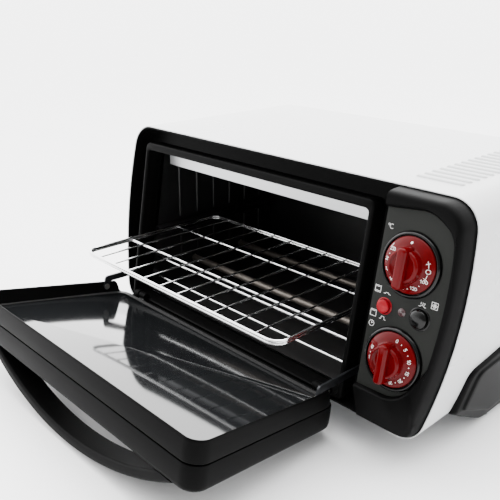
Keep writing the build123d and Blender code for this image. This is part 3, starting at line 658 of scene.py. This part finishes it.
# The outer window is dark tinted glass that lets part of the light through
tinted, shader = material("tinted window glass", "#1c1e20", 0.05, ior=1.52, Transmission_Weight=0.6)
surface(tinted, shader, "#1a1c1e", "#212326", 90 * mm, 50 * mm, 0.02 * mm, 0.04, 0.08)
coat(tinted, "door_window")

# Seal and clips: a matt black silicone strip cushions the glass and steel clips hold it. The
# clips, pins, rivets and screws are all zinc plated, a soft grey shine.
silicone, shader = material("black silicone", "#141414", 0.6)
surface(silicone, shader, "#111111", "#191919", 20 * mm, 1 * mm, 0.01 * mm, 0.52, 0.66)
zinc, shader = material("zinc-plated steel", "#b9bab6", 0.34, metallic=1.0)
surface(zinc, shader, "#a5a6a2", "#c8c8c4", 6 * mm, 0.8 * mm, 0.006 * mm, 0.26, 0.44)
coat(silicone, "door_seal")
coat(zinc, "glass_clips", "hinge_pins", "handle_screws", "stay_rivets")

# Bow handle: a black ABS strap 24 mm wide, moulded in one curve and screwed to the door's
# two top corners from inside
handle_half = 151 * mm
bow = 39 * mm
strap = 9.5 * mm
strap_wide = 24 * mm
strap_y = door_long - 0.5 * mm
section = oblong(-strap_wide, 0, 0, strap, 2.6 * mm, steps=5)
radius = (handle_half ** 2 + bow ** 2) / (2 * bow)
swing = atan2(handle_half, radius - bow)
rings = []
for n in range(49):
    a = -swing + 2 * swing * n / 48
    ring = []
    for along, deep in section:
        r = radius - (strap - deep)
        x = mouth_mid + r * sin(a)
        up = -shell_deep - (r * cos(a) - (radius - bow))
        ring.append(on_door(x, strap_y + along, min(up, -shell_deep + 1.2 * mm)))
    rings.append(ring)
handle = loft("bow_handle", rings, black_abs, "door", first=True, last=True, sharp=50)
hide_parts("door_handle")

# Stay arms: blackened steel strip, cranked at the door end and riveted to the door, that
# stops the door level
black_steel, shader = material("blacked steel strip", "#26272a", 0.36, metallic=0.7)
surface(black_steel, shader, "#1d1e20", "#303134", 12 * mm, 1 * mm, 0.01 * mm, 0.30, 0.46)
coat(black_steel, "stay_arm_left", "stay_arm_right")

# Controls. Each one is placed on its own axis: side runs across, high up the fascia, and out
# along the shaft from the fascia's face.
knob_axes = {name: Vector(joints[name + "_turn"]["pos_m"]) for name in ("thermostat", "timer")}
uphill = Vector((0, lean_sin, lean_cos))


def on_control(base, side, high, out):
    return base + Vector((side, 0, 0)) + uphill * high - inward * out


def turned(base, rows, steps=96):
    """Rings of a round piece from (radius, out) pairs in millimetres"""
    return [[on_control(base, r * mm * cos(2 * pi * n / steps), r * mm * sin(2 * pi * n / steps), out * mm)
             for n in range(steps)] for r, out in rows]


# Trim rings: gloss black ABS rings, pressed into the fascia round each knob. Their rounded
# tops catch a thin bright line.
gloss_black, shader = material("gloss black ABS", "#040404", 0.16, ior=1.5, Specular_IOR_Level=0.2)
surface(gloss_black, shader, "#030303", "#060606", 30 * mm, 4 * mm, 0.004 * mm, 0.12, 0.22)
for name, base in knob_axes.items():
    rows = [(23.4, 0.1), (23.4, 2.4), (23.6, 3.0), (24.1, 3.2), (24.8, 3.0), (25.6, 2.1), (26.3, 0.8),
            (26.5, 0.1)]
    ring = loft(name + "_trim_ring", turned(base, rows), gloss_black, "oven_body", around=True, sharp=60)
    if name == "thermostat":
        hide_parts("knob_rings")

# Knobs: moulded in clear deep red SAN, so the colour gathers in the thick grip and the thin
# skirt is brighter at its rim. The dial is printed white on the skirt.
ruby, shader = material("clear ruby SAN", "#480205", 0.12, ior=1.5, Specular_IOR_Level=0.09)
surface(ruby, shader, "#400104", "#520306", 12 * mm, 6 * mm, 0.006 * mm, 0.07, 0.14)
skirt_rows = [(19.0, 1.6), (21.9, 1.5), (22.4, 1.7), (22.5, 2.2), (22.2, 2.8), (21.4, 3.3), (19.5, 4.4),
              (17.0, 5.3), (15.2, 5.8), (14.0, 6.3), (13.6, 7.2), (13.4, 11.4), (13.0, 12.9),
              (12.2, 13.6), (11.0, 13.9)]
face_rows = [(10.2, 13.6), (9.8, 13.1), (9.4, 12.9), (4.0, 12.9)]
fin_half, fin_wide = 17.0 * mm, 4.3 * mm
for name, base in knob_axes.items():
    knob = loft(name + "_knob_body", turned(base, skirt_rows + face_rows), ruby, name, first=True,
                last=True, sharp=50)
    fin = oblong(-fin_wide, fin_wide, -fin_half - 1 * mm, fin_half - 2 * mm, 3.4 * mm, steps=6)
    rings = []
    for inset, out in ((-0.5, 4.6), (-0.1, 9.0), (0.0, 15.2), (0.3, 16.8), (0.9, 17.8), (1.8, 18.4),
                       (2.6, 18.5)):
        rings.append([on_control(base, x, y, out * mm) for x, y in inset_path(fin, inset * mm)])
    grip = loft(name + "_knob_fin", rings, ruby, name, first=True, last=True, sharp=50)
    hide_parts(name + "_knob")

# Dial print: matt white ink, pad printed on the sloping skirt. It is 0.1 mm thick here, so
# that it shows as a separate piece; real ink is a tenth of that.
ink, shader = material("white pad-printed ink", "#eeeeec", 0.5)
surface(ink, shader, "#e6e6e4", "#f4f4f2", 3 * mm, 0.6 * mm, 0.01 * mm, 0.42, 0.58)


def strokes(lines, width):
    """Flat pen strokes as closed outlines (corner points) along each line"""
    shapes = []
    for line in lines:
        for a, b in zip(line, line[1:]):
            a, b = Vector(a), Vector(b)
            if (b - a).length < 1e-9:
                continue
            run = (b - a).normalized() * (width / 2)
            side = Vector((-run.y, run.x))
            shapes.append([a - run + side, a - run - side, b + run - side, b + run + side])
    return shapes


def arc(x, y, r, start=0.0, stop=2 * pi, steps=14):
    return [(x + r * cos(start + (stop - start) * n / steps), y + r * sin(start + (stop - start) * n / steps))
            for n in range(steps + 1)]


def printed(name, shapes, place, finish, body, thickness=0.1 * mm):
    points, faces = [], []
    for shape in shapes:
        base, count = len(points), len(shape)
        points += [place(p[0], p[1], 0.0) for p in shape] + [place(p[0], p[1], thickness) for p in shape]
        faces.append(tuple(base + n for n in range(count)))
        faces.append(tuple(base + count + n for n in range(count)))
        for n in range(count):
            m = (n + 1) % count
            faces.append((base + n, base + m, base + count + m, base + count + n))
    made = skin(name, points, faces, finish, body, sharp=30)


digits = {
    "0": [[(x * 0.62, y) for x, y in arc(0, 0, 0.5, steps=12)]],
    "1": [[(-0.2, 0.25), (0.05, 0.5), (0.05, -0.5)]],
    "2": [[(-0.3, 0.3), (-0.15, 0.5), (0.15, 0.5), (0.3, 0.3), (0.25, 0.05), (-0.3, -0.5), (0.32, -0.5)]],
    "3": [[(-0.3, 0.5), (0.28, 0.5), (0.0, 0.1), (0.28, -0.1), (0.25, -0.42), (0.0, -0.5), (-0.3, -0.38)]],
    "4": [[(0.15, -0.5), (0.15, 0.5), (-0.3, -0.18), (0.35, -0.18)]],
    "5": [[(0.28, 0.5), (-0.22, 0.5), (-0.28, 0.05), (0.1, 0.1), (0.3, -0.15), (0.15, -0.45), (-0.3, -0.42)]],
    "6": [[(0.2, 0.5), (-0.22, 0.1), (-0.28, -0.25)], arc(0.0, -0.22, 0.28, steps=10)],
    "8": [arc(0.0, 0.25, 0.24, steps=10), arc(0.0, -0.24, 0.27, steps=10)],
}


def number(text, angle, radius, tall, upright=False):
    """A printed number centred at a clock angle, upright or standing on the knob's middle"""
    lines = []
    step = tall * 0.78
    for n, digit in enumerate(text):
        shift = (n - (len(text) - 1) / 2) * step
        for line in digits[digit]:
            lines.append([(shift + x * tall, y * tall) for x, y in line])
    turn = 0.0 if upright else -angle
    place = Vector((sin(angle) * radius, cos(angle) * radius))
    c, s = cos(turn), sin(turn)
    return [[(place.x + x * c - y * s, place.y + x * s + y * c) for x, y in line] for line in lines]


def dot(angle, radius, r):
    return [Vector(p) for p in arc(sin(angle) * radius, cos(angle) * radius, r, steps=10)[:-1]]


def on_skirt(base):
    def place(x, y, thick):
        r = hypot(x, y) / mm
        rows = sorted((a, b) for a, b in skirt_rows[5:10])
        out = rows[0][1]
        for (ra, oa), (rb, ob) in zip(rows, rows[1:]):
            if ra <= r <= rb:
                out = oa + (ob - oa) * (r - ra) / (rb - ra)
        if r > rows[-1][0]:
            out = rows[-1][1]
        return on_control(base, x, y, out * mm + thick + 0.03 * mm)
    return place


dial_r = 17.9 * mm
tall = 2.5 * mm
pen = 0.24 * mm
marks = [dot(0.0, dial_r, 0.95 * mm)]
for text, clock in (("100", 118), ("120", 152), ("140", 186), ("160", 218), ("180", 246), ("200", 272),
                    ("230", 302)):
    marks += strokes(number(text, radians(clock), dial_r, tall, upright=True), pen)
for clock in (135, 169, 202, 232, 259, 286):
    marks.append(dot(radians(clock), dial_r, 0.36 * mm))
spit = radians(90)
lines = [[(sin(a) * dial_r, cos(a) * dial_r) for a in (spit - 0.44, spit - 0.3, spit - 0.16)],
         [(sin(a) * dial_r, cos(a) * dial_r) for a in (spit + 0.16, spit + 0.3, spit + 0.44)],
         arc(dial_r, 0.0, 1.7 * mm), [(dial_r - 2.6 * mm, 5.2 * mm), (dial_r + 0.2 * mm, 6.4 * mm)],
         [(dial_r - 2.6 * mm, -5.6 * mm), (dial_r - 0.2 * mm, -6.8 * mm)]]
marks += strokes(lines, pen)
marks += strokes([[(sin(radians(c)) * 20.6 * mm, cos(radians(c)) * 20.6 * mm) for c in (299, 305, 311)]], pen)
printed("thermostat_dial_print", marks, on_skirt(knob_axes["thermostat"]), ink, "thermostat")
marks = []
for n in range(10):
    text = str(5 * n)
    clock = 12 + 30.5 * n
    marks += strokes(number(text, radians(clock), dial_r, tall * 0.95), pen)
    if n < 9:
        marks.append(dot(radians(clock + 15.2), dial_r, 0.36 * mm))
printed("timer_dial_print", marks, on_skirt(knob_axes["timer"]), ink, "timer")

# Push buttons: gloss ABS caps, each in a thin rounded collar of its own colour. The function
# button is red and a little dished, and the steam button is larger, black and domed. The
# pilot lamp between them has a smoky clear lens.
mid_slope = slope_at(0.597 * roof, fascia_out)


def across_of(name):
    low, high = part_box(name)
    return (low.x + high.x) / 2


red_base, black_base, lamp_base = [on_front(across_of(name), mid_slope, fascia_out)
                                   for name in ("function_button", "steam_button", "pilot_lamp")]
red_gloss, shader = material("signal red gloss ABS", "#780914", 0.14, ior=1.5, Specular_IOR_Level=0.12)
surface(red_gloss, shader, "#700712", "#820b18", 8 * mm, 3 * mm, 0.004 * mm, 0.10, 0.2)
lens, shader = material("smoky lamp lens", "#2a1416", 0.12, ior=1.49)
surface(lens, shader, "#241012", "#32191b", 3 * mm, 1 * mm, 0.004 * mm, 0.08, 0.18)

rows = [(5.5, -4.0), (5.5, 2.6), (5.35, 3.05), (4.9, 3.3), (3.6, 3.4), (3.0, 3.3), (1.8, 3.2), (0.6, 3.15)]
piece = loft("function_button_cap", turned(red_base, rows, 64), red_gloss, "function_push", first=True,
             last=True, sharp=60)
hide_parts("function_button")
rows = [(5.95, 0.05), (5.95, 0.5), (6.2, 0.75), (6.7, 0.6), (7.0, 0.05)]
collar = loft("function_button_collar", turned(red_base, rows, 64), red_gloss, "oven_body", around=True,
              sharp=60)
rows = [(7.6, -4.0), (7.6, 1.6), (7.4, 2.5), (6.8, 3.2), (5.6, 3.8), (3.8, 4.2), (1.6, 4.4), (0.5, 4.42)]
piece = loft("steam_button_cap", turned(black_base, rows, 64), gloss_black, "steam_push", first=True,
             last=True, sharp=60)
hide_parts("steam_button")
rows = [(8.05, 0.05), (8.05, 0.4), (8.4, 0.6), (9.0, 0.4), (9.3, 0.05)]
collar = loft("steam_button_collar", turned(black_base, rows, 64), gloss_black, "oven_body", around=True,
              sharp=60)
rows = [(3.4, 0.05), (3.4, 0.35), (3.0, 0.55), (2.5, 0.4), (2.3, 0.5), (1.8, 0.8), (0.9, 1.0), (0.3, 1.05)]
piece = loft("pilot_lamp_lens", turned(lamp_base, rows, 48), lens, "oven_body", first=True, last=True,
             sharp=60)
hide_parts("pilot_lamp")

# Fascia print: plain function signs beside the controls, pad printed in the same white ink
# with a line 0.26 mm wide
def on_fascia(x, y, thick):
    return on_front(x, y, fascia_out + thick + 0.04 * mm)


def sign(x, z, lines):
    v = slope_at(z, fascia_out)
    return [[(x + a * mm, v + b * mm) for a, b in line] for line in lines]


box_sign = [[(-2.6, -2.6), (2.6, -2.6), (2.6, 2.6), (-2.6, 2.6), (-2.6, -2.6)]]
bars_both = [[(-1.8, 1.7), (1.8, 1.7)], [(-1.8, -1.7), (1.8, -1.7)]]
bars_top = [[(-1.8, 1.7), (1.8, 1.7)]]
pressed = [[(-3.0, -0.9), (-1.6, -0.9), (-1.2, 0.1), (1.2, 0.1), (1.6, -0.9), (3.0, -0.9)]]
raised = [[(-3.0, -1.2), (-1.6, -1.2), (-1.2, 1.2), (1.2, 1.2), (1.6, -1.2), (3.0, -1.2)]]
clock_sign = [arc(0, 0, 2.4), [(0, 1.6), (0, 0), (1.2, 0.6)]]
vapour = [[(x, 0.9), (x + 0.5, 1.6), (x, 2.3)] for x in (-1.6, 0.0, 1.6)]
fan = [arc(0, 0, 0.5), arc(0, 1.2, 0.7, steps=8), arc(0, -1.2, 0.7, steps=8), arc(1.2, 0, 0.7, steps=8),
       arc(-1.2, 0, 0.7, steps=8)]
degree = [arc(-1.7, 1.2, 0.7, steps=10), arc(0.9, 0.0, 1.8, start=radians(50), stop=radians(310), steps=12)]
signs = ((147.9, 199.1, degree), (146.8, 148.5, box_sign + bars_both), (155.7, 147.4, pressed),
         (146.4, 128.3, box_sign + bars_top), (155.5, 126.7, raised), (146.4, 119.4, clock_sign),
         (187.5, 147.3, pressed + vapour), (197.5, 150.2, box_sign + fan))
lines = [line for x, z, drawing in signs for line in sign(x * mm, z * mm, drawing)]
printed("fascia_signs", strokes(lines, 0.26 * mm), on_fascia, ink, "oven_body")

# Works and back: galvanised sheet for the panels, brackets and housings, cream phenolic
# switches, zinc-plated shafts and screws, and black rubber pads and cable gland
pressed_steel, shader = material("galvanised steel sheet", "#a9acae", 0.42, metallic=0.9)
surface(pressed_steel, shader, "#5f6264", "#7d8082", 14 * mm, 2.5 * mm, 0.01 * mm, 0.34, 0.5)
phenolic, shader = material("cream phenolic", "#d8d3c4", 0.5)
surface(phenolic, shader, "#cfcaba", "#e0dccf", 8 * mm, 1 * mm, 0.01 * mm, 0.42, 0.58)
rubber, shader = material("black rubber", "#1a1a1a", 0.72)
surface(rubber, shader, "#151515", "#202020", 10 * mm, 0.8 * mm, 0.02 * mm, 0.64, 0.8)
coat(pressed_steel, "base_plate", "rear_panel", "control_bracket", "heat_shield", "thermostat_body",
     "timer_body")
coat(phenolic, "function_switch", "steam_switch", "terminal_block")
coat(zinc, "thermostat_shaft", "timer_shaft", "rear_panel_screws", "bracket_screws", "foot_screws")
coat(rubber, "foot_pads", "cable_gland")
coat(black_abs, "rear_spacer")

# Side feet: black ABS pods that hug the casing's lower corners, screwed on from below. Each
# has a raised oval on its face and stands on rubber pads.
foot_low, foot_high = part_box("side_foot_right")
pad_t = 1.6 * mm
front_y = back_y - casing_deep
foot_long = 0.9 * casing_deep


def pod_outline():
    spots = [(front_y + 10.6 * mm, 40.5 * mm, 7 * mm), (front_y + 19.5 * mm, 80.0 * mm, 12 * mm),
             (front_y + 66 * mm, 88.0 * mm, 60 * mm), (front_y + foot_long * 0.72, 90.5 * mm, 60 * mm),
             (front_y + foot_long * 0.985, 78.0 * mm, 24 * mm),
             (front_y + foot_long + 1.6 * mm, 46.0 * mm, 20 * mm),
             (front_y + foot_long * 0.72, pad_t, 34 * mm), (front_y + 78 * mm, pad_t, 30 * mm),
             (front_y + 30.6 * mm, 28.5 * mm, 24 * mm)]
    path = [(min(max(y, foot_low.y), foot_high.y), max(pad_t, min(z, foot_high.z)))
            for y, z in corners(spots, steps=8)]
    return list(reversed(filled(path, 5 * mm)))


def pod_side(z):
    return (199.0 + 15.5 * z / (88 * mm)) * mm


def drawn_in(path, by):
    """The outline pulled towards the pod's middle"""
    middle = Vector((sum(p[0] for p in path), sum(p[1] for p in path))) / len(path)
    return [tuple(Vector(p) + (middle - Vector(p)).normalized() * by) for p in path]


path = pod_outline()
for side, name in ((1, "right"), (-1, "left")):
    rings = []
    for inset, out in ((0.0, None), (0.0, -9.0), (0.5, -5.2), (1.7, -2.4), (3.6, -0.8), (6.0, -0.2),
                       (10.4, 0.0), (11.4, 0.5), (12.4, 1.6), (14.0, 2.2), (18.0, 2.4)):
        ring = []
        for y, z in drawn_in(path, inset * mm):
            if out is None:
                x = max(178 * mm, min(side_at(max(z, foot_gap), 2.0 * mm), pod_side(z) - 12 * mm))
            else:
                x = pod_side(z) + out * mm * 0.85
            ring.append((side * x, y, z))
        rings.append(ring)
    foot = loft("side_foot_pod_" + name, rings, black_abs, "oven_body", first=True, last=True, sharp=60)
    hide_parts("side_foot_" + name)

# Studio: the oven stands on a pale matt table under a bright overcast surround, with a large
# soft lamp overhead and a fainter one on the right
table_top, shader = material("matt white laminate", "#f6f6f7", 0.55)
surface(table_top, shader, "#f4f4f5", "#f8f8f8", 300 * mm, 3 * mm, 0.01 * mm, 0.5, 0.6)
floor = bpy.data.objects.new("table_top", bpy.data.meshes.new("table_top"))
floor.data.from_pydata([(-60, -60, 0), (60, -60, 0), (60, 60, 0), (-60, 60, 0)], [], [(0, 1, 2, 3)])
floor.data.materials.append(table_top)
bpy.context.scene.collection.objects.link(floor)
world = bpy.data.worlds.new("studio surround")
world.use_nodes = True
aim = add(world, "TexCoord")["Generated"]
facing = add(world, "VectorMath", {0: aim, 1: (-0.75, 0.62, 0.25)}, operation="DOT_PRODUCT")["Value"]
level = add(world, "MapRange", {"Value": facing, "From Min": -0.6, "From Max": 0.75, "To Min": 0.7,
                                "To Max": 8.5}, interpolation_type="SMOOTHSTEP")["Result"]
world.node_tree.links.new(level, world.node_tree.nodes["Background"].inputs["Strength"])
world.node_tree.nodes["Background"].inputs["Color"].default_value = (1.0, 1.0, 1.0, 1.0)
bpy.context.scene.world = world


def lamp(name, place, aim, size, power):
    light = bpy.data.lights.new(name, "AREA")
    light.shape = "RECTANGLE"
    light.size, light.size_y = size
    light.energy = power
    made = bpy.data.objects.new(name, light)
    made.location = place
    made.rotation_euler = (Vector(aim) - Vector(place)).to_track_quat("-Z", "Y").to_euler()
    bpy.context.scene.collection.objects.link(made)


lamp("overhead_softbox", (0.1, 0.2, 1.6), (0, 0, 0.1), (1.8, 1.4), 30)
lamp("right_softbox", (1.6, 0.5, 0.9), (0.1, 0, 0.1), (1.2, 1.0), 6)

# Camera: 37 cm above the table, off the oven's right front corner, looking 21 degrees down
swing, tilt, roll = radians(47.088), radians(21.092), radians(0.154)
camera = bpy.data.objects.new("camera", bpy.data.cameras.new("camera"))
camera.location = (0.43367, -0.45952, 0.36878)
back = Vector((sin(swing) * cos(tilt), -cos(swing) * cos(tilt), sin(tilt)))
camera.rotation_euler = back.to_track_quat("Z", "Y").to_euler()
camera.rotation_euler.rotate_axis("Z", roll)
camera.data.sensor_width = 36
camera.data.lens = 49.208616
camera.data.shift_x = 0.031572
camera.data.shift_y = 0.009872
bpy.context.scene.collection.objects.link(camera)
bpy.context.scene.camera = camera

bpy.context.view_layer.update()
